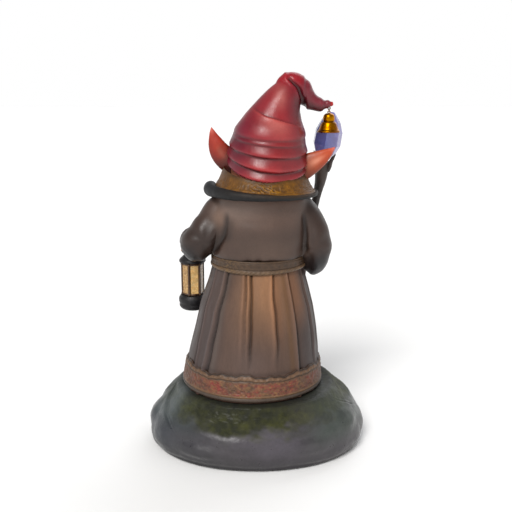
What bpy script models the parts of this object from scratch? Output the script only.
"""Garden gnome, 0.35 m tall: hollow castings clamped on a rock by a tie rod.

A lantern hangs in the left fist, a staff with a crystal lifts out of the right one,
and a bell hangs from the tip of the hat. The gnome looks along -Y, and +X is its left.
"""

import math

import bmesh
import bpy
from mathutils import Matrix, Vector

# ---- driving dimensions, in metres --------------------------------------------------
GAP = 0.0003            # clearance between pieces that touch
WALL = 0.0040           # wall of the hollow castings
ROUND = 32              # sides of the large round pieces

PAD_HEIGHT = 0.0015     # rubber pads under the base
ROCK_BOTTOM = 0.0018
ROCK_TOP = 0.0585       # flat seat for the robe
PLATE_THICKNESS = 0.0030
SKIRT_BOTTOM = ROCK_TOP + GAP
SKIRT_TOP = 0.1730
BELT_HEIGHT = 0.0095
COAT_BOTTOM = SKIRT_TOP + GAP + BELT_HEIGHT + 0.0006
COAT_TOP = 0.2405
ROD_RADIUS = 0.0040

HEAD = Vector((-0.010, -0.002, 0.2600))
HEAD_SIZE = Vector((0.0330, 0.0325, 0.0300))
HEAD_MESH = (24, 14)
NOSE = Vector((0.0, -0.0345, -0.0030))           # from the centre of the head
NOSE_SIZE = Vector((0.0068, 0.0078, 0.0066))
NOSE_MESH = (14, 8)
COLLAR_CENTRE = Vector((-0.0067, 0.0, 0.2420))
HAT_TIP = Vector((-0.0648, 0.0, 0.3147))         # centre of the eye that the bell hangs from

STAFF_FOOT = Vector((-0.0310, -0.0615, 0.0510))
STAFF_TOP = Vector((-0.0682, -0.0400, 0.2868))   # centre of the crystal
STAFF_RADIUS = 0.0040
GRIP_HEIGHT = 0.1860

LANTERN = Vector((0.0630, -0.0400, 0.1165))      # centre of the lantern's underside
LANTERN_SIDES = 6
LANTERN_POST_CIRCLE = 0.0106
BAIL_PIVOT_HEIGHT = 0.0598                        # above the lantern's underside
BAIL_HEIGHT = 0.0176                              # from its pivots to the bar in the fist
BAIL_HALF_WIDTH = 0.0096
WIRE = 0.0008                                     # radius of the bail's wire
PIN = 0.0006                                      # radius of the pins it turns on

# (height, centre x, half width, half depth) of the rock, the robe and the coat
ROCK = (
    (ROCK_BOTTOM, 0.0, 0.0995, 0.0755),
    (0.0125, 0.0, 0.1045, 0.0800),
    (0.0250, 0.0, 0.1020, 0.0790),
    (0.0316, 0.0, 0.0995, 0.0778),
    (0.0440, 0.0, 0.0905, 0.0742),
    (0.0490, 0.0, 0.0860, 0.0722),
    (0.0572, 0.0, 0.0755, 0.0677),
    (ROCK_TOP, 0.0, 0.0715, 0.0655),
)
SKIRT = (
    (SKIRT_BOTTOM, 0.0038, 0.0655, 0.0598),
    (0.0750, 0.0030, 0.0635, 0.0578),
    (0.0880, 0.0022, 0.0612, 0.0550),
    (0.1000, 0.0010, 0.0590, 0.0526),
    (0.1243, -0.0005, 0.0546, 0.0480),
    (0.1362, -0.0008, 0.0522, 0.0456),
    (0.1480, -0.0012, 0.0487, 0.0424),
    (0.1597, -0.0017, 0.0450, 0.0391),
    (SKIRT_TOP, -0.0020, 0.0415, 0.0357),
)
COAT = (
    (COAT_BOTTOM, -0.0022, 0.0425, 0.0368),
    (0.1880, -0.0026, 0.0438, 0.0378),
    (0.2000, -0.0032, 0.0442, 0.0375),
    (0.2140, -0.0042, 0.0440, 0.0362),
    (0.2260, -0.0052, 0.0425, 0.0338),
    (0.2350, -0.0060, 0.0385, 0.0310),
    (COAT_TOP, -0.0060, 0.0330, 0.0285),
)
COAT_SIDES = (-0.0425, 0.0340)    # flat faces that the sleeves are glued to

# (centre x, y, z, half width, half height) along each sleeve, from shoulder to cuff
LEFT_SLEEVE = (
    (0.0260, 0.0020, 0.2240, 0.0165, 0.0165),
    (0.0358, 0.0025, 0.2170, 0.0168, 0.0168),
    (0.0440, 0.0055, 0.2070, 0.0158, 0.0158),
    (0.0520, 0.0085, 0.1945, 0.0152, 0.0152),
    (0.0552, 0.0000, 0.1897, 0.0130, 0.0140),
    (0.0570, -0.0110, 0.1900, 0.0124, 0.0138),
    (0.0584, -0.0200, 0.1910, 0.0128, 0.0146),
)
RIGHT_SLEEVE = (
    (-0.0340, 0.0020, 0.2240, 0.0165, 0.0165),
    (-0.0432, 0.0025, 0.2165, 0.0166, 0.0166),
    (-0.0505, 0.0055, 0.2055, 0.0158, 0.0158),
    (-0.0538, 0.0070, 0.1930, 0.0152, 0.0158),
    (-0.0535, -0.0010, 0.1838, 0.0128, 0.0176),
    (-0.0528, -0.0130, 0.1785, 0.0122, 0.0192),
    (-0.0522, -0.0250, 0.1785, 0.0124, 0.0192),
)
# (centre x, y, z, radius) up the hat's cone and down its tail
HAT_CONE = (
    (-0.0108, 0.0000, 0.2620, 0.0356),
    (-0.0108, 0.0000, 0.2700, 0.0360),
    (-0.0109, 0.0002, 0.2780, 0.0356),
    (-0.0110, 0.0006, 0.2860, 0.0342),
    (-0.0116, 0.0012, 0.2940, 0.0318),
    (-0.0126, 0.0020, 0.3020, 0.0284),
    (-0.0145, 0.0030, 0.3100, 0.0248),
    (-0.0176, 0.0038, 0.3180, 0.0205),
    (-0.0215, 0.0042, 0.3260, 0.0165),
    (-0.0250, 0.0040, 0.3330, 0.0122),
    (-0.0275, 0.0036, 0.3385, 0.0070),
)
HAT_TAIL = (
    (-0.0255, 0.0000, 0.3310, 0.0098),
    (-0.0315, -0.0010, 0.3355, 0.0103),
    (-0.0385, -0.0015, 0.3330, 0.0103),
    (-0.0445, -0.0012, 0.3265, 0.0096),
    (-0.0505, -0.0006, 0.3210, 0.0076),
    (-0.0565, 0.0000, 0.3193, 0.0056),
    (-0.0612, 0.0000, 0.3200, 0.0042),
    (-0.0650, 0.0000, 0.3203, 0.0034),
    (-0.0682, 0.0000, 0.3212, 0.0024),
)
HAT_BACK_DROP = 0.0100            # how far the hat's edge hangs lower at the back than at the sides

COLOURS = {
    "rock": (0.085, 0.080, 0.085), "plate": (0.03, 0.03, 0.03), "rubber": (0.02, 0.02, 0.02),
    "steel": (0.55, 0.55, 0.56), "robe": (0.17, 0.10, 0.075), "trim": (0.20, 0.09, 0.05),
    "belt": (0.12, 0.07, 0.04), "brass": (0.48, 0.24, 0.04), "coat": (0.12, 0.08, 0.065),
    "ochre": (0.19, 0.095, 0.03), "charcoal": (0.03, 0.032, 0.038), "skin": (0.55, 0.17, 0.10),
    "beard": (0.62, 0.58, 0.52), "hat": (0.28, 0.045, 0.05), "bark": (0.05, 0.032, 0.028),
    "crystal": (0.15, 0.16, 0.38), "iron": (0.03, 0.03, 0.034), "amber": (0.55, 0.34, 0.13),
    "wax": (0.75, 0.62, 0.40), "boot": (0.06, 0.035, 0.025),
}
ROUGHNESS = {"brass": 0.3, "steel": 0.35, "crystal": 0.1, "amber": 0.25, "iron": 0.45}
METALS = ("brass", "steel")


# ---- scene, materials and objects ---------------------------------------------------
def clear_scene():
    for obj in list(bpy.data.objects):
        bpy.data.objects.remove(obj)


def collection(name):
    made = bpy.data.collections.new(name)
    bpy.context.scene.collection.children.link(made)
    return made


def material(name):
    made = bpy.data.materials.get(name) or bpy.data.materials.new(name)
    made.use_nodes = True
    shader = made.node_tree.nodes["Principled BSDF"]
    shader.inputs["Base Color"].default_value = (*COLOURS[name], 1.0)
    shader.inputs["Roughness"].default_value = ROUGHNESS.get(name, 0.5)
    shader.inputs["Metallic"].default_value = 0.9 if name in METALS else 0.0
    return made


def add_mesh(name, bm, colour, smooth=True):
    """A new object from a bmesh; a colour of None makes it a cutter."""
    bmesh.ops.recalc_face_normals(bm, faces=bm.faces)
    mesh = bpy.data.meshes.new(name)
    bm.to_mesh(mesh)
    bm.free()
    obj = bpy.data.objects.new(name, mesh)
    if colour is None:
        CUTTERS.objects.link(obj)
        obj.hide_render = True
        obj.display_type = "WIRE"
        return obj
    PARTS.objects.link(obj)
    mesh.materials.append(material(colour))
    if smooth:
        mesh.shade_smooth()
        mesh.set_sharp_from_angle(angle=math.radians(40))
    return obj


def boolean(obj, other, operation="DIFFERENCE"):
    modifier = obj.modifiers.new(operation.lower(), "BOOLEAN")
    modifier.operation = operation
    modifier.object = other
    modifier.solver = "EXACT"


def put_origin(obj, point):
    """Moves an object's origin to a point, such as one on its joint's axis; its shape stays put."""
    shift = obj.location - Vector(point)
    obj.data.transform(Matrix.Translation(shift))
    obj.location = point
    return obj


def cut(obj, *cutters):
    for cutter in cutters:
        boolean(obj, cutter)


def join(obj, *others):
    """Adds the shapes of helper objects to obj."""
    for other in others:
        boolean(obj, other, "UNION")


# ---- shapes -------------------------------------------------------------------------
def loft(name, rings, colour, smooth=True):
    """A closed solid through rings of equally many points, with flat caps."""
    bm = bmesh.new()
    loops = [[bm.verts.new(point) for point in ring] for ring in rings]
    count = len(loops[0])
    for low, high in zip(loops, loops[1:]):
        for i in range(count):
            j = (i + 1) % count
            bm.faces.new((low[i], low[j], high[j], high[i]))
    bm.faces.new(loops[0])
    bm.faces.new(loops[-1])
    return add_mesh(name, bm, colour, smooth)


def oval(centre, half_width, half_depth, power=2.0, segments=ROUND):
    """A level superellipse, counter-clockwise from +X."""
    points = []
    for i in range(segments):
        angle = 2 * math.pi * i / segments
        c, s = math.cos(angle), math.sin(angle)
        x = math.copysign(abs(c) ** (2 / power), c) * half_width
        y = math.copysign(abs(s) ** (2 / power), s) * half_depth
        points.append(Vector(centre) + Vector((x, y, 0.0)))
    return points


def table_rings(table, grow=0.0, power=2.0, segments=ROUND, lowest=None, highest=None):
    """Rings from a (height, centre x, half width, half depth) table."""
    rings = []
    for z, x, half_width, half_depth in table:
        rings.append(oval((x, 0.0, z), half_width + grow, half_depth + grow, power, segments))
    if lowest is not None:
        rings[0] = [Vector((p.x, p.y, lowest)) for p in rings[0]]
    if highest is not None:
        rings[-1] = [Vector((p.x, p.y, highest)) for p in rings[-1]]
    return rings


def size_at(table, z):
    """(centre x, half width, half depth) of a table at a height, interpolated."""
    for (z0, *low), (z1, *high) in zip(table, table[1:]):
        if z <= z1:
            share = max(0.0, (z - z0) / (z1 - z0))
            return [a + share * (b - a) for a, b in zip(low, high)]
    return list(table[-1][1:])


def tube_rings(stations, grow=0.0, segments=20):
    """Rings across a path of (x, y, z, radius) or (x, y, z, half width, half height)."""
    points = [Vector(station[:3]) for station in stations]
    sizes = [(station[3] + grow, station[-1] + grow) for station in stations]
    rings = []
    side = None
    for i, point in enumerate(points):
        along = (points[min(i + 1, len(points) - 1)] - points[max(i - 1, 0)]).normalized()
        if side is None:
            side = along.orthogonal() if abs(along.x) > 0.9 else Vector((1.0, 0.0, 0.0))
        side = (side - side.dot(along) * along).normalized()
        up = along.cross(side)
        half_width, half_height = sizes[i]
        ring = []
        for k in range(segments):
            angle = 2 * math.pi * k / segments
            ring.append(point + side * half_width * math.cos(angle) + up * half_height * math.sin(angle))
        rings.append(ring)
    return rings


def ellipsoid(name, centre, size, colour, segments=24, rings=14):
    bm = bmesh.new()
    bmesh.ops.create_uvsphere(bm, u_segments=segments, v_segments=rings, radius=1.0)
    bmesh.ops.scale(bm, vec=size, verts=bm.verts)
    bmesh.ops.translate(bm, vec=centre, verts=bm.verts)
    return add_mesh(name, bm, colour)


def turn_to(axis):
    """The rotation that takes +Z to an axis."""
    return Vector((0.0, 0.0, 1.0)).rotation_difference(Vector(axis)).to_matrix().to_4x4()


def cylinder(name, start, end, radius, colour, end_radius=None, segments=20):
    start, end = Vector(start), Vector(end)
    bm = bmesh.new()
    bmesh.ops.create_cone(
        bm, cap_ends=True, segments=segments, radius1=radius,
        radius2=radius if end_radius is None else end_radius, depth=(end - start).length,
    )
    place = Matrix.Translation((start + end) / 2) @ turn_to((end - start).normalized())
    bmesh.ops.transform(bm, matrix=place, verts=bm.verts)
    return add_mesh(name, bm, colour)


def block(name, centre, size, colour, turn=None):
    bm = bmesh.new()
    bmesh.ops.create_cube(bm, size=1.0)
    bmesh.ops.scale(bm, vec=size, verts=bm.verts)
    place = Matrix.Translation(centre) @ (turn or Matrix.Identity(4))
    bmesh.ops.transform(bm, matrix=place, verts=bm.verts)
    return add_mesh(name, bm, colour, smooth=False)


def turned(name, profile, centre, colour, segments=28, angle=0.0):
    """A profile of (radius, height) turned about a vertical axis; it runs down the outer side."""
    mesh = bpy.data.meshes.new(name)
    edges = [(i, i + 1) for i in range(len(profile) - 1)]
    mesh.from_pydata([(r, 0.0, z) for r, z in profile], edges, [])
    obj = bpy.data.objects.new(name, mesh)
    if colour is None:
        CUTTERS.objects.link(obj)
        obj.hide_render = True
        obj.display_type = "WIRE"
    else:
        PARTS.objects.link(obj)
        mesh.materials.append(material(colour))
    screw = obj.modifiers.new("turn", "SCREW")
    screw.steps = segments
    screw.render_steps = segments
    screw.use_merge_vertices = True
    screw.merge_threshold = 0.00001
    screw.use_smooth_shade = True
    obj.location = centre
    obj.rotation_euler.z = angle
    return obj


def closed_sweep(name, section, colour, start=0.0, end=2 * math.pi, steps=40, taper=None):
    """A closed (radius, height) section carried round an axis; place(angle, r, z) gives the point.

    section(angle) returns the section's points in the row frame. An end angle short of a full
    turn leaves the sweep open, with flat ends.
    """
    full = abs(end - start - 2 * math.pi) < 1e-6
    count = steps if full else steps + 1
    loops = [section(start + (end - start) * i / steps) for i in range(count)]
    bm = bmesh.new()
    rows = [[bm.verts.new(point) for point in loop] for loop in loops]
    pairs = list(zip(rows, rows[1:])) + ([(rows[-1], rows[0])] if full else [])
    for a, b in pairs:
        for i in range(len(a)):
            j = (i + 1) % len(a)
            bm.faces.new((a[i], a[j], b[j], b[i]))
    if not full:
        bm.faces.new(rows[0])
        bm.faces.new(rows[-1])
    return add_mesh(name, bm, colour)


def wire_ring(name, centre, radius, wire, axis, colour, segments=14, sides=6):
    """A ring of round wire whose hole looks along axis."""
    def section(angle):
        out = Vector((math.cos(angle), math.sin(angle), 0.0))
        points = []
        for k in range(sides):
            turn = 2 * math.pi * k / sides
            points.append(out * (radius + wire * math.cos(turn)) + Vector((0, 0, wire * math.sin(turn))))
        place = Matrix.Translation(centre) @ turn_to(axis)
        return [place @ p for p in points]
    return closed_sweep(name, section, colour, steps=segments)


def wire(name, points, radius, colour, resolution=2):
    """Round wire along points, as a poly curve."""
    curve = bpy.data.curves.new(name, "CURVE")
    curve.dimensions = "3D"
    curve.bevel_depth = radius
    curve.bevel_resolution = resolution
    curve.use_fill_caps = True
    spline = curve.splines.new("POLY")
    spline.points.add(len(points) - 1)
    for spot, point in zip(spline.points, points):
        spot.co = (*point, 1.0)
    obj = bpy.data.objects.new(name, curve)
    PARTS.objects.link(obj)
    curve.materials.append(material(colour))
    return obj


def arc(centre, radius, first, last, count, u, v):
    """Points on an arc from angle first to last, in degrees, in the plane of u and v."""
    found = []
    for i in range(count):
        angle = math.radians(first + (last - first) * i / (count - 1))
        found.append(Vector(centre) + radius * (math.cos(angle) * Vector(u) + math.sin(angle) * Vector(v)))
    return found


# ---- base ---------------------------------------------------------------------------
SCREW_SPOTS = [(x, y) for x in (-0.066, 0.066) for y in (-0.030, 0.030)]
PAD_SPOTS = [(x, y) for x in (-0.050, 0.050) for y in (-0.040, 0.040)]
PLATE_BOTTOM = ROCK_BOTTOM
PLATE_SIZE = (0.0880, 0.0650)
HEAD_DEPTH = 0.0018
CAVITY_TOP = ROCK_TOP - 0.0085


def rock_outline(z, x, half_width, half_depth, segments=36):
    """A rounded boulder outline with a few shallow lobes."""
    points = []
    for point in oval((x, 0.0, z), half_width, half_depth, 2.15, segments):
        angle = math.atan2(point.y / half_depth, point.x / half_width)
        lobe = 1.0 - 0.010 * (1 - math.cos(4 * angle)) * (1.0 - z / ROCK_TOP * 0.6)
        points.append(Vector((point.x * lobe, point.y * lobe, z)))
    return points


def make_rock():
    rock = loft("rock_base", [rock_outline(*row) for row in ROCK], "rock")
    hollow = [
        oval((0, 0, -0.010), *PLATE_SIZE, 2.1),
        oval((0, 0, PLATE_BOTTOM + PLATE_THICKNESS + 2 * GAP), *PLATE_SIZE, 2.1),
        oval((0, 0, 0.030), PLATE_SIZE[0] * 0.97, PLATE_SIZE[1] * 0.97, 2.1),
        oval((0, 0, CAVITY_TOP), 0.068, 0.050, 2.1),
    ]
    cavity = loft("rock_cavity", hollow, None)
    for i, (x, y) in enumerate(SCREW_SPOTS):
        boss = cylinder(
            f"boss_{i}", (x, y, PLATE_BOTTOM + PLATE_THICKNESS + GAP), (x, y, CAVITY_TOP + 0.02),
            0.0050, None, segments=16,
        )
        cut(cavity, boss)
        pilot = cylinder(f"pilot_{i}", (x, y, -0.01), (x, y, 0.0175), 0.0018, None, segments=12)
        cut(rock, pilot)
    cut(rock, cavity)
    cut(rock, cylinder("rock_rod_hole", (0, 0, 0.03), (0, 0, 0.08), ROD_RADIUS + GAP, None))
    axis = (STAFF_TOP - STAFF_FOOT).normalized()
    socket = cylinder(
        "staff_socket", STAFF_FOOT - axis * GAP, STAFF_FOOT + axis * 0.03, STAFF_RADIUS + GAP, None,
    )
    cut(rock, socket)


def make_base_plate():
    low, high = PLATE_BOTTOM, PLATE_BOTTOM + PLATE_THICKNESS
    width, depth = PLATE_SIZE[0] - GAP * 2, PLATE_SIZE[1] - GAP * 2
    rings = [oval((0, 0, z), width, depth, 2.1) for z in (low, high)]
    plate = loft("base_plate", rings, "plate")
    for i, (x, y) in enumerate(SCREW_SPOTS):
        cut(plate, cylinder(f"screw_hole_{i}", (x, y, -0.01), (x, y, 0.01), 0.0018, None, segments=12))
        top = (x, y, low + HEAD_DEPTH)
        sink = cylinder(f"screw_sink_{i}", (x, y, -0.01), top, 0.0033, None, segments=16)
        cut(plate, sink)
        profile = (
            (0.0, low + 0.013), (0.0015, low + 0.012), (0.0015, low + HEAD_DEPTH - GAP),
            (0.0029, low + HEAD_DEPTH - GAP), (0.0029, low + 0.0003), (0.0, low + 0.0003),
        )
        screw = turned(f"base_screw_{i + 1}", profile, (x, y, 0.0), "steel", segments=16)
        cut(screw, block(f"slot_{i}", (x, y, low), (0.0044, 0.0008, 0.0016), None))
    for i, (x, y) in enumerate(PAD_SPOTS):
        cylinder(f"foot_pad_{i + 1}", (x, y, 0.0), (x, y, PAD_HEIGHT), 0.0080, "rubber")


def make_tie_rod():
    """The rod that clamps coat, robe and rock together, with its nut in the rock's cavity."""
    washer_top = CAVITY_TOP - GAP
    nut_top = washer_top - 0.0015 - GAP
    hole = ROD_RADIUS + GAP
    cylinder("tie_rod", (0, 0, nut_top - 0.0105), (0, 0, COAT_BOTTOM + 0.0110), ROD_RADIUS, "steel")
    bore = cylinder("rod_bore", (0, 0, 0.0), (0, 0, 0.25), hole, None)
    cut(cylinder("tie_washer", (0, 0, washer_top - 0.0015), (0, 0, washer_top), 0.0110, "steel"), bore)
    nut = cylinder("tie_nut", (0, 0, nut_top - 0.0065), (0, 0, nut_top), 0.0075, "steel", segments=6)
    cut(nut, bore)
    insert = cylinder(
        "rod_insert", (0, 0, COAT_BOTTOM + GAP), (0, 0, COAT_BOTTOM + 0.0095), 0.0065, "brass",
    )
    cut(insert, bore)


# ---- robe, belt and coat ------------------------------------------------------------
HEM = (0.0612, 0.0832)


def band_section(table, low, high, thickness, bulge=0.0):
    """Section of a band that wraps a table's outline between two heights."""
    inside = [(row[0], GAP) for row in table if low < row[0] < high]
    middle = ((low + high) / 2, thickness + bulge)
    outline = [(low, GAP), (low, thickness), middle, (high, thickness), (high, GAP)] + inside[::-1]

    def section(angle):
        points = []
        for z, out in outline:
            x, half_width, half_depth = size_at(table, z)
            ring_x = x + (half_width + out) * math.cos(angle)
            points.append(Vector((ring_x, (half_depth + out) * math.sin(angle), z)))
        return points
    return section


def make_robe():
    skirt = loft("robe_skirt", table_rings(SKIRT), "robe")
    inner = table_rings(SKIRT, grow=-WALL, lowest=SKIRT_BOTTOM - 0.01, highest=SKIRT_TOP - 0.005)
    cut(skirt, loft("skirt_cavity", inner, None))
    cut(skirt, cylinder("skirt_rod_hole", (0, 0, 0.15), (0, 0, 0.18), ROD_RADIUS + GAP, None))
    closed_sweep("hem_band", band_section(SKIRT, *HEM, 0.0016, bulge=0.0004), "trim", steps=ROUND)


def make_belt():
    low = SKIRT_TOP + GAP
    high = low + BELT_HEIGHT
    x, half_width, half_depth = -0.0020, 0.0428, 0.0372
    rings = []
    for z, out in ((low, 0.0), (low + 0.002, 0.0008), (high - 0.002, 0.0008), (high, 0.0)):
        rings.append(oval((x, 0, z), half_width + out, half_depth + out))
    belt = loft("belt", rings, "belt")
    cut(belt, cylinder("belt_rod_hole", (0, 0, 0.16), (0, 0, 0.19), 0.0300, None, segments=32))
    front = -half_depth - 0.0008 - GAP
    middle = (low + high) / 2

    def section(angle):
        points = []
        for across, out in ((-0.0012, 0.0), (0.0012, 0.0), (0.0012, -0.0016), (-0.0012, -0.0016)):
            px = x + (0.0075 + across) * math.cos(angle)
            points.append(Vector((px, front + out, middle + (0.0056 + across) * math.sin(angle))))
        return points
    closed_sweep("belt_buckle", section, "brass", steps=24)


def coat_rings(grow=0.0, lowest=None, highest=None):
    rings = table_rings(COAT, grow, 2.3, 36, lowest, highest)
    low_x, high_x = COAT_SIDES[0] - grow, COAT_SIDES[1] + grow
    return [[Vector((min(max(p.x, low_x), high_x), p.y, p.z)) for p in ring] for ring in rings]


NECK_RADIUS = 0.0120
NECK_DEPTH = 0.0100


def make_coat():
    coat = loft("coat_body", coat_rings(), "coat")
    inner = coat_rings(-WALL)
    inner = [[Vector((p.x, p.y, p.z)) for p in ring] for ring in inner[1:-1]]
    lid = [Vector((p.x * 0.72, p.y * 0.72, COAT_TOP - NECK_DEPTH - 0.004)) for p in inner[-1]]
    floor = COAT_BOTTOM + 0.0100
    inner = [[Vector((p.x * 0.9, p.y * 0.9, floor)) for p in inner[0]]] + inner[1:-1] + [lid]
    opening = cylinder("coat_drain", (0.012, 0, 0.17), (0.012, 0, 0.20), 0.0020, None, segments=12)
    cut(coat, loft("coat_cavity", inner, None))
    cut(coat, cylinder("insert_hole", (0, 0, 0.17), (0, 0, floor + 0.005), 0.0065 + GAP, None), opening)
    neck = Vector((HEAD.x, HEAD.y, COAT_TOP))
    top = neck + Vector((0, 0, 0.01))
    cut(coat, cylinder("neck_hole", neck - Vector((0, 0, NECK_DEPTH + GAP)), top, NECK_RADIUS + GAP, None))


def make_sleeve(name, stations, plane, side):
    """A sleeve with a flat shoulder on the coat's side and a recess in its cuff."""
    sleeve = loft(name, tube_rings(stations, segments=22), "coat")
    box = block(name + "_shoulder_cut", (plane + side * (GAP - 0.05), 0, 0.22), (0.1, 0.1, 0.1), None)
    mouth, before = Vector(stations[-1][:3]), Vector(stations[-2][:3])
    along = (mouth - before).normalized()
    recess = [
        (*(mouth - along * 0.0060), 0.0085, 0.0090),
        (*(mouth + along * 0.0020), stations[-1][3] - 0.0022, stations[-1][4] - 0.0030),
    ]
    cut(sleeve, box, loft(name + "_mouth", tube_rings(recess, segments=20), None))
    return sleeve, mouth - along * 0.0095


def staff_point(z):
    share = (z - STAFF_FOOT.z) / (STAFF_TOP.z - STAFF_FOOT.z)
    return STAFF_FOOT.lerp(STAFF_TOP, share)


def make_hand(name, grip, bore_axis, bore_radius, sleeve, wrist, size):
    """A closed fist round a bore, with a wrist that is glued into the sleeve."""
    bore_axis = Vector(bore_axis).normalized()
    back = (Vector(wrist) - grip).normalized()
    side = back.cross(bore_axis).normalized()
    turn = Matrix((bore_axis, side.cross(bore_axis), side)).transposed().to_4x4()
    bm = bmesh.new()
    bmesh.ops.create_uvsphere(bm, u_segments=16, v_segments=10, radius=1.0)
    for vert in bm.verts:
        co = vert.co
        vert.co = Vector([math.copysign(abs(c) ** 0.62, c) * s for c, s in zip(co, size)])
    bmesh.ops.transform(bm, matrix=Matrix.Translation(grip) @ turn, verts=bm.verts)
    hand = add_mesh(name, bm, "skin")
    join(hand, cylinder(name + "_wrist", wrist, grip + back * 0.0035, 0.0062, None, 0.0056, segments=16))
    socket = cylinder(name + "_socket", wrist + back * GAP, grip, 0.0062 + GAP, None, segments=16)
    cut(sleeve, socket)
    reach = bore_axis * 0.03
    cut(hand, cylinder(name + "_bore", grip - reach, grip + reach, bore_radius, None, segments=16))


def make_arms():
    sleeve, wrist = make_sleeve("left_sleeve", LEFT_SLEEVE, COAT_SIDES[1], 1)
    bar = LANTERN + Vector((0, 0, BAIL_PIVOT_HEIGHT + BAIL_HEIGHT))
    cut(sleeve, block("left_relief", (0.0220, 0, 0.1616), (0.0400, 0.1, 0.0436), None))
    make_hand("left_hand", bar, (1, 0, 0), WIRE + 0.0004, sleeve, wrist, (0.0066, 0.0088, 0.0082))
    sleeve, wrist = make_sleeve("right_sleeve", RIGHT_SLEEVE, COAT_SIDES[0], -1)
    cut(sleeve, block("right_relief", (-0.0262, 0, 0.1616), (0.0400, 0.1, 0.0436), None))
    axis = STAFF_TOP - STAFF_FOOT
    make_hand(
        "right_hand", staff_point(GRIP_HEIGHT), axis, STAFF_RADIUS + GAP, sleeve, wrist,
        (0.0095, 0.0092, 0.0092),
    )


# ---- collar, head and hat -----------------------------------------------------------
COLLAR_HALF = (0.0482, 0.0500)
COLLAR_OPEN = math.radians(32)     # how far each end reaches forward of the gnome's side


def collar_drop(angle):
    """The collar is a little lower on the right and falls away at its front ends."""
    return 0.0018 * math.cos(angle) - 0.0060 * max(0.0, -math.sin(angle)) ** 1.3


def make_collar():
    def rim(grow):
        def section(angle):
            front = max(0.0, -math.sin(angle))
            radius = 0.0034 + 0.0014 * math.cos(angle) + 0.0012 * math.cos(angle) ** 2 + grow
            radius -= 0.0010 * front
            out = Vector((math.cos(angle), math.sin(angle), 0.0))
            middle = COLLAR_CENTRE + Vector((
                COLLAR_HALF[0] * out.x, COLLAR_HALF[1] * out.y, collar_drop(angle)))
            turns = [2 * math.pi * k / 8 for k in range(8)]
            return [middle + radius * (out * math.cos(t) + Vector((0, 0, math.sin(t)))) for t in turns]
        return section

    def lining(angle):
        back = max(0.0, math.sin(angle))
        profile = (
            (0.0300, 0.2412), (0.0466, 0.2400), (0.0468, 0.2432), (0.0415, 0.2474),
            (0.0366, 0.2555 - 0.0040 * back), (0.0340, 0.2555 - 0.0040 * back),
        )
        points = []
        for r, z in profile:
            x = COLLAR_CENTRE.x - 0.0008 + r * math.cos(angle)
            points.append(Vector((x, r * 1.01 * math.sin(angle), z + collar_drop(angle))))
        return points

    ends = (-COLLAR_OPEN, math.pi + COLLAR_OPEN)
    closed_sweep("collar_rim", rim(0.0), "charcoal", *ends, steps=28)
    longer = (ends[0] - 0.1, ends[1] + 0.1)
    rolled = closed_sweep("collar_rim_cutter", rim(GAP), None, *longer, steps=32)
    collar = closed_sweep("collar_lining", lining, "ochre", *ends, steps=28)
    cut(collar, head_cutter(), coat_cutter(), rolled)


def coat_cutter():
    return bpy.data.objects.get("coat_cutter") or loft(
        "coat_cutter", coat_rings(GAP, COAT_BOTTOM - 0.01, COAT_TOP + GAP), None)


def head_cutter():
    return bpy.data.objects.get("head_cutter") or ellipsoid(
        "head_cutter", HEAD, HEAD_SIZE + Vector((GAP, GAP, GAP)) * 1.3, None, *HEAD_MESH)


def nose_cutter():
    return bpy.data.objects.get("nose_cutter") or ellipsoid(
        "nose_cutter", HEAD + NOSE, NOSE_SIZE + Vector((GAP, GAP, GAP)) * 1.3, None, *NOSE_MESH)


def hat_cone_rings(grow=0.0, segments=28):
    """The cone's rings; the lowest ones hang at the back."""
    rings = []
    for x, y, z, radius in HAT_CONE:
        share = max(0.0, 1 - (z - HAT_CONE[0][2]) / 0.045)
        ring = []
        for point in oval((x, y, z), radius + grow, radius * 0.97 + grow, segments=segments):
            tilt = -HAT_BACK_DROP * (point.y - y) / radius * share
            roll = 0.04 * (point.x - x) * share
            ring.append(point + Vector((0, 0, tilt + roll)))
        rings.append(ring)
    return rings


def make_head():
    head = ellipsoid("head", HEAD, HEAD_SIZE, "skin", *HEAD_MESH)
    join(head, ellipsoid("nose", HEAD + NOSE, NOSE_SIZE, None, *NOSE_MESH))
    low = COAT_TOP + GAP
    cut(head, block("head_base", (HEAD.x, HEAD.y, low - 0.05), (0.2, 0.2, 0.1), None))
    neck = Vector((HEAD.x, HEAD.y, COAT_TOP - NECK_DEPTH))
    join(head, cylinder("neck", neck, neck + Vector((0, 0, 0.02)), NECK_RADIUS, None))


def make_ear(name, outline, y, thickness, yaw):
    """A pointed ear: a flat outline in the frontal plane, swollen in the middle."""
    middle = sum((Vector(p) for p in outline), Vector((0, 0))) / len(outline)
    bm = bmesh.new()
    layers = []
    for offset, shrink in ((-1.0, 0.45), (-0.6, 0.85), (0.0, 1.0), (0.6, 0.85), (1.0, 0.45)):
        layer = []
        for p in outline:
            q = middle + (Vector(p) - middle) * shrink
            layer.append(bm.verts.new((q.x, offset * thickness, q.y)))
        layers.append(layer)
    count = len(outline)
    for a, b in zip(layers, layers[1:]):
        for i in range(count):
            bm.faces.new((a[i], a[(i + 1) % count], b[(i + 1) % count], b[i]))
    bm.faces.new(layers[0])
    bm.faces.new(layers[-1])
    root = Vector((outline[0][0], 0.0, outline[0][1]))
    place = Matrix.Translation((0, y, 0)) @ Matrix.Translation(root) @ Matrix.Rotation(yaw, 4, "Z")
    bmesh.ops.transform(bm, matrix=place @ Matrix.Translation(-root), verts=bm.verts)
    cut(add_mesh(name, bm, "skin"), hat_cutter(), head_cutter())


def hat_cutter():
    return bpy.data.objects.get("hat_cutter") or loft("hat_cutter", hat_cone_rings(GAP), None)


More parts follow.
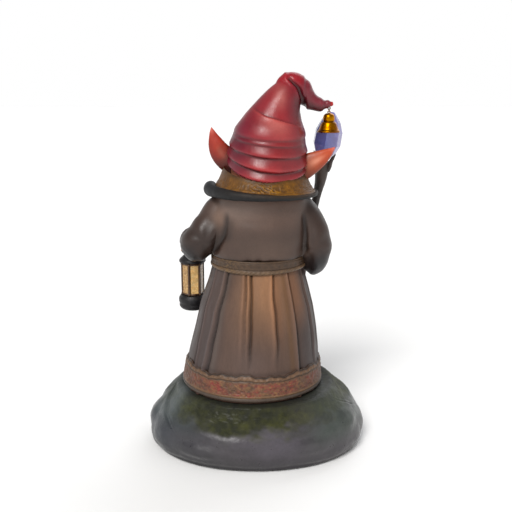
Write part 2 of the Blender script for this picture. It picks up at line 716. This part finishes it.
LEFT_EAR = (
    (0.0190, 0.2760), (0.0275, 0.2835), (0.0345, 0.2905), (0.0400, 0.2985), (0.0415, 0.2880),
    (0.0400, 0.2770), (0.0360, 0.2665), (0.0295, 0.2585), (0.0200, 0.2600),
)
RIGHT_EAR = (
    (-0.0400, 0.2745), (-0.0510, 0.2762), (-0.0610, 0.2778), (-0.0705, 0.2790), (-0.0670, 0.2705),
    (-0.0620, 0.2625), (-0.0560, 0.2560), (-0.0500, 0.2530), (-0.0410, 0.2600),
)


def make_beard():
    sections = (
        (0.1835, -0.0445, 0.0040, 0.0036), (0.1900, -0.0440, 0.0085, 0.0060),
        (0.2000, -0.0425, 0.0145, 0.0085), (0.2120, -0.0405, 0.0200, 0.0105),
        (0.2250, -0.0385, 0.0245, 0.0120), (0.2360, -0.0370, 0.0270, 0.0125),
        (0.2450, -0.0350, 0.0275, 0.0125), (0.2520, -0.0300, 0.0270, 0.0120),
        (0.2560, -0.0240, 0.0255, 0.0090),
    )
    rings = [oval((HEAD.x + 0.004 * (0.25 - z) / 0.07, y, z), w, d, segments=24) for z, y, w, d in sections]
    beard = loft("beard", rings, "beard")
    low = Vector((-0.0075, 0.004, 0.235))
    collar = cylinder("collar_cutter", low, low + Vector((0, 0, 0.035)), 0.0395, None, segments=36)
    keep_front = block("collar_keep", (-0.0075, -0.0733, 0.25), (0.12, 0.1, 0.1), None)
    cut(collar, keep_front)
    cut(beard, head_cutter(), nose_cutter(), coat_cutter(), collar)
    lobes = []
    for side in (-1, 1):
        stations = [
            (HEAD.x, -0.0430, 0.2500, 0.0040),
            (HEAD.x + side * 0.0060, -0.0432, 0.2500, 0.0046),
            (HEAD.x + side * 0.0130, -0.0405, 0.2480, 0.0040),
            (HEAD.x + side * 0.0195, -0.0368, 0.2462, 0.0026),
            (HEAD.x + side * 0.0235, -0.0345, 0.2475, 0.0010),
        ]
        lobes.append(tube_rings(stations, segments=12))
    moustache = loft("moustache", lobes[0], "beard")
    join(moustache, loft("moustache_half", lobes[1], None))
    grown = loft("beard_cutter", [grow_ring(ring, 0.0004) for ring in rings], None)
    cut(moustache, nose_cutter(), head_cutter(), grown)


def grow_ring(ring, amount):
    centre = sum(ring, Vector()) / len(ring)
    return [p + (p - centre).normalized() * amount for p in ring]


def make_hat():
    hat = loft("hat", hat_cone_rings(), "hat")
    tail = loft("hat_tail", tube_rings(HAT_TAIL, segments=14), None)
    join(hat, tail)
    cut(hat, head_cutter())
    stem = HAT_TIP + Vector((0, 0, 0.0010))
    cut(hat, cylinder("eye_hole", stem, stem + Vector((0, 0, 0.0055)), 0.0007, None, segments=10))


def make_boots():
    """The toes of the boots, glued to the rock in front of the hem."""
    floor = block("boot_floor", (0, -0.05, ROCK_TOP + GAP - 0.03), (0.2, 0.1, 0.06), None)
    rings = table_rings(SKIRT, 0.0022 + GAP)[:3]
    rings.insert(0, [point - Vector((0, 0, 0.01)) for point in rings[0]])
    hem = loft("boot_cutter", rings, None)
    for side, word in ((-1, "right"), (1, "left")):
        place = (0.0038 + side * 0.0185, -0.0575, ROCK_TOP + 0.0020)
        cut(ellipsoid(word + "_boot", place, (0.0125, 0.0160, 0.0098), "boot", 18, 10), floor, hem)


# ---- bell ---------------------------------------------------------------------------
EYE_RADIUS, EYE_WIRE = 0.0011, 0.0004
LINK_RADIUS, LINK_WIRE = 0.0015, 0.00035
LINK_PLAY = 0.0002
LINK_TOP = HAT_TIP.z - EYE_RADIUS + EYE_WIRE + LINK_WIRE + LINK_PLAY    # wire centre of the link's top
LINK_CENTRE = LINK_TOP - LINK_RADIUS
LINK_PIVOT = HAT_TIP.z - EYE_RADIUS
BELL_PIVOT = LINK_CENTRE - LINK_RADIUS
BELL_LOOP = BELL_PIVOT + EYE_WIRE + LINK_WIRE + LINK_PLAY - EYE_RADIUS
BELL_CROWN = BELL_LOOP - EYE_RADIUS + 0.0003
BELL_HEIGHT = 0.0170
BELL_OUTSIDE = (
    (0.0, 0.0), (0.0022, -0.0002), (0.0041, -0.0014), (0.0050, -0.0038), (0.0052, -0.0060),
    (0.0050, -0.0072), (0.0064, -0.0082), (0.0076, -0.0108), (0.0084, -0.0136), (0.0100, -0.0158),
    (0.0100, -BELL_HEIGHT),
)
BELL_WALL = 0.0009


def make_bell():
    tip = Vector((HAT_TIP.x, HAT_TIP.y, 0.0))
    eye = wire_ring("hat_tip_eye", HAT_TIP, EYE_RADIUS, EYE_WIRE, (0, 1, 0), "brass")
    top = HAT_TIP + Vector((0, 0, EYE_RADIUS))
    join(eye, cylinder("eye_stem", top, top + Vector((0, 0, 0.0040)), EYE_WIRE, None, segments=8))
    centre = tip + Vector((0, 0, LINK_CENTRE))
    link = wire_ring("bell_ring", centre, LINK_RADIUS, LINK_WIRE, (1, 0, 0), "brass")
    put_origin(link, tip + Vector((0, 0, LINK_PIVOT)))
    inside = [(0.0, -BELL_WALL * 1.2)]
    for r, z in BELL_OUTSIDE[2:-1]:
        inside.append((r - BELL_WALL, z - BELL_WALL * 0.8))
    inside.append((0.0092, -BELL_HEIGHT))
    profile = list(BELL_OUTSIDE) + inside[::-1]
    bell = turned("bell", profile, tip + Vector((0, 0, BELL_CROWN)), "brass", segments=20)
    loop = wire_ring("bell_loop", tip + Vector((0, 0, BELL_LOOP)), EYE_RADIUS, EYE_WIRE, (0, 1, 0), None)
    put_origin(bell, tip + Vector((0, 0, BELL_PIVOT)))
    staple_z = BELL_CROWN - 0.0016
    staple = wire_ring("bell_staple", tip + Vector((0, 0, staple_z)), EYE_RADIUS, EYE_WIRE, (0, 1, 0), None)
    join(bell, loop, staple)
    clapper_ring = staple_z - EYE_RADIUS + EYE_WIRE + LINK_WIRE + LINK_PLAY - EYE_RADIUS
    centre = tip + Vector((0, 0, clapper_ring))
    ring = wire_ring("bell_clapper", centre, EYE_RADIUS, LINK_WIRE, (1, 0, 0), "brass")
    put_origin(ring, tip + Vector((0, 0, staple_z - EYE_RADIUS)))
    ball_z = BELL_CROWN - BELL_HEIGHT + 0.0018
    ball = ellipsoid("clapper_ball", tip + Vector((0, 0, ball_z)), (0.0024, 0.0024, 0.0024), None, 14, 8)
    low = tip + Vector((0, 0, ball_z))
    high = tip + Vector((0, 0, clapper_ring - EYE_RADIUS))
    join(ring, cylinder("clapper_stem", low, high, 0.0005, None, segments=8), ball)


# ---- staff --------------------------------------------------------------------------
FERRULE_LENGTH = 0.0120
HEAD_OF_STAFF = (       # (height, radius)
    (0.205, 0.0037), (0.222, 0.0040), (0.236, 0.0046), (0.2455, 0.0056), (0.2565, 0.0076),
    (0.2680, 0.0091),
)
PRONGS = 3


def make_staff():
    axis = (STAFF_TOP - STAFF_FOOT).normalized()
    start = STAFF_FOOT + axis * (FERRULE_LENGTH + GAP)
    stations = [(*start, STAFF_RADIUS - 0.0002)]
    for z, radius in ((0.12, 0.0038), (0.17, 0.0038), *HEAD_OF_STAFF):
        stations.append((*staff_point(z), radius))
    shaft = put_origin(loft("staff_shaft", tube_rings(stations, segments=16), "bark"), STAFF_FOOT)
    crystal_low = STAFF_TOP - axis * 0.0245
    seat = loft("crystal_seat", crystal_rings(axis, GAP), None)
    cut(shaft, seat)
    cylinder("staff_ferrule", STAFF_FOOT, STAFF_FOOT + axis * FERRULE_LENGTH, STAFF_RADIUS, "iron")
    side = axis.orthogonal().normalized()
    for i in range(PRONGS):
        out = Matrix.Rotation(math.radians(100 + 360 * i / PRONGS), 3, axis) @ side
        spots = ((-0.0070, 0.0074), (-0.0020, 0.0094), (0.0035, 0.0100), (0.0075, 0.0098), (0.0105, 0.0106))
        radii = (0.0022, 0.0026, 0.0024, 0.0016, 0.0007)
        stations = [
            (*(crystal_low + axis * along + out * away), radius)
            for (along, away), radius in zip(spots, radii)
        ]
        prong = loft(f"staff_prong_{i + 1}", tube_rings(stations, segments=10), "bark")
        cut(prong, loft(f"shaft_cutter_{i}", tube_rings([
            (*staff_point(z), radius + GAP)
            for z, radius in HEAD_OF_STAFF], segments=16), None))
        cut(prong, seat)
    loft("crystal", crystal_rings(axis), "crystal", smooth=False)


def crystal_rings(axis, grow=0.0):
    """A seven-sided crystal, thickest a little below its middle."""
    side = axis.orthogonal().normalized()
    front = axis.cross(side)
    rings = []
    for along, radius in ((-0.0240, 0.0030), (-0.0150, 0.0104), (-0.0070, 0.0136), (0.0060, 0.0136),
                          (0.0150, 0.0098), (0.0240, 0.0030)):
        ring = []
        for k in range(7):
            angle = 2 * math.pi * k / 7 + 0.3
            out = side * math.cos(angle) + front * math.sin(angle)
            ring.append(STAFF_TOP + axis * along + out * (radius + grow))
        rings.append(ring)
    return rings


# ---- lantern ------------------------------------------------------------------------
LANTERN_FLOOR = 0.0153      # top of the base, above the lantern's underside
LANTERN_EAVE = 0.0482       # underside of the roof
RAIL = 0.0016               # height of the frame's rails


def lantern_rail(name, low, first, colour):
    """A flat ring with as many sides as the lantern, with its corners at the posts."""
    def section(angle):
        out = Vector((math.cos(first + angle), math.sin(first + angle), 0.0))
        corners = ((-0.0014, 0.0), (0.0012, 0.0), (0.0012, RAIL), (-0.0014, RAIL))
        points = []
        for away, up in corners:
            points.append(LANTERN + out * (LANTERN_POST_CIRCLE + away) + Vector((0, 0, low + up)))
        return points
    return closed_sweep(name, section, colour, steps=LANTERN_SIDES)


def make_lantern():
    base = (
        (0.0, LANTERN_FLOOR), (0.0122, LANTERN_FLOOR), (0.0136, 0.0130), (0.0143, 0.0085),
        (0.0137, 0.0040), (0.0118, 0.0012), (0.0096, 0.0), (0.0, 0.0),
    )
    hung = turned("lantern_base", base, LANTERN, "iron", segments=18)
    put_origin(hung, LANTERN + Vector((0, 0, BAIL_PIVOT_HEIGHT)))
    roof = (
        (0.0, 0.0632), (0.0018, 0.0627), (0.0025, 0.0613), (0.0016, 0.0598), (0.0028, 0.0588),
        (0.0055, 0.0578), (0.0080, 0.0560), (0.0106, 0.0530), (0.0128, 0.0508), (0.0132, 0.0492),
        (0.0125, LANTERN_EAVE), (0.0, LANTERN_EAVE),
    )
    cap = turned("lantern_roof", roof, LANTERN, "iron", segments=18)
    low, high = LANTERN_FLOOR + GAP, LANTERN_EAVE - GAP
    step = 2 * math.pi / LANTERN_SIDES
    first = math.radians(255)
    posts = []
    for i in range(LANTERN_SIDES):
        angle = first + i * step
        out = Vector((math.cos(angle), math.sin(angle), 0.0))
        turn = Matrix.Rotation(angle, 4, "Z")
        centre = LANTERN + out * LANTERN_POST_CIRCLE + Vector((0, 0, (low + high) / 2))
        post = block(f"post_{i + 1}", centre, (0.0018, 0.0018, high - low - 0.0001), None, turn)
        posts.append(post)
        middle = angle + step / 2
        out = Vector((math.cos(middle), math.sin(middle), 0.0))
        apothem = LANTERN_POST_CIRCLE * math.cos(step / 2)
        width = 2 * LANTERN_POST_CIRCLE * math.sin(step / 2) - 0.0026 - 2 * GAP
        centre = LANTERN + out * apothem + Vector((0, 0, (low + high) / 2))
        turn = Matrix.Rotation(middle, 4, "Z")
        size = (0.0009, width, high - low - 2 * (RAIL + GAP))
        block(f"lantern_pane_{i + 1}", centre, size, "amber", turn)
    frame = lantern_rail("lantern_frame", low, first, "iron")
    join(frame, lantern_rail("upper_rail", high - RAIL, first, None), *posts)
    candle = (
        (0.0, 0.0215 + LANTERN_FLOOR), (0.0010, 0.0190 + LANTERN_FLOOR), (0.0016, 0.0160 + LANTERN_FLOOR),
        (0.0006, 0.0138 + LANTERN_FLOOR), (0.0006, 0.0122 + LANTERN_FLOOR), (0.0038, 0.0120 + LANTERN_FLOOR),
        (0.0042, 0.0110 + LANTERN_FLOOR), (0.0042, low), (0.0, low),
    )
    turned("lantern_candle", candle, LANTERN, "wax", segments=16)
    make_bail(cap)


def make_bail(cap):
    """The wire bail, its two pins in the roof's lugs, and the lugs."""
    pivot = LANTERN + Vector((0, 0, BAIL_PIVOT_HEIGHT))
    bar = BAIL_HEIGHT
    for side, word in ((-1, "left"), (1, "right")):
        across = Vector((side, 0, 0))
        centre = pivot + across * 0.0073 - Vector((0, 0, 0.0018))
        lug = block(f"lug_{word}", centre, (0.0022, 0.0036, 0.0078), None)
        join(cap, lug)
        start, end = pivot + across * 0.0053, pivot + across * 0.0112
        cut(cap, cylinder(f"lug_hole_{word}", pivot + across * 0.0050, end, PIN + GAP, None, segments=12))
        cylinder(f"bail_pin_{word}", start, end, PIN, "brass", segments=12)
    corner = 0.0025
    points = [pivot + Vector((-BAIL_HALF_WIDTH, 0, 0.0021))]
    for side, first in ((-1, 180), (1, 90)):
        centre = pivot + Vector((side * (BAIL_HALF_WIDTH - corner), 0, bar - corner))
        points += arc(centre, corner, first, first - 90, 6, (1, 0, 0), (0, 0, 1))
    points.append(pivot + Vector((BAIL_HALF_WIDTH, 0, 0.0021)))
    rings = tube_rings([(*p, WIRE) for p in points], segments=8)
    bail = put_origin(loft("lantern_bail", rings, "iron"), pivot + Vector((0, 0, bar)))
    for side, word in ((-1, "left"), (1, "right")):
        eye = wire_ring(f"bail_eye_{word}", pivot + Vector((side * BAIL_HALF_WIDTH, 0, 0)), 0.0017, 0.0007,
                        (1, 0, 0), None)
        join(bail, eye)


def make_all():
    make_rock()
    make_base_plate()
    make_tie_rod()
    make_robe()
    make_belt()
    make_coat()
    make_arms()
    make_collar()
    make_head()
    make_ear("left_ear", LEFT_EAR, -0.0020, 0.0030, 0.0)
    make_ear("right_ear", RIGHT_EAR, 0.0060, 0.0030, 0.0)
    make_beard()
    make_hat()
    make_boots()
    make_bell()
    make_staff()
    make_lantern()


clear_scene()
PARTS = collection("garden_gnome")
CUTTERS = collection("cutters")
make_all()
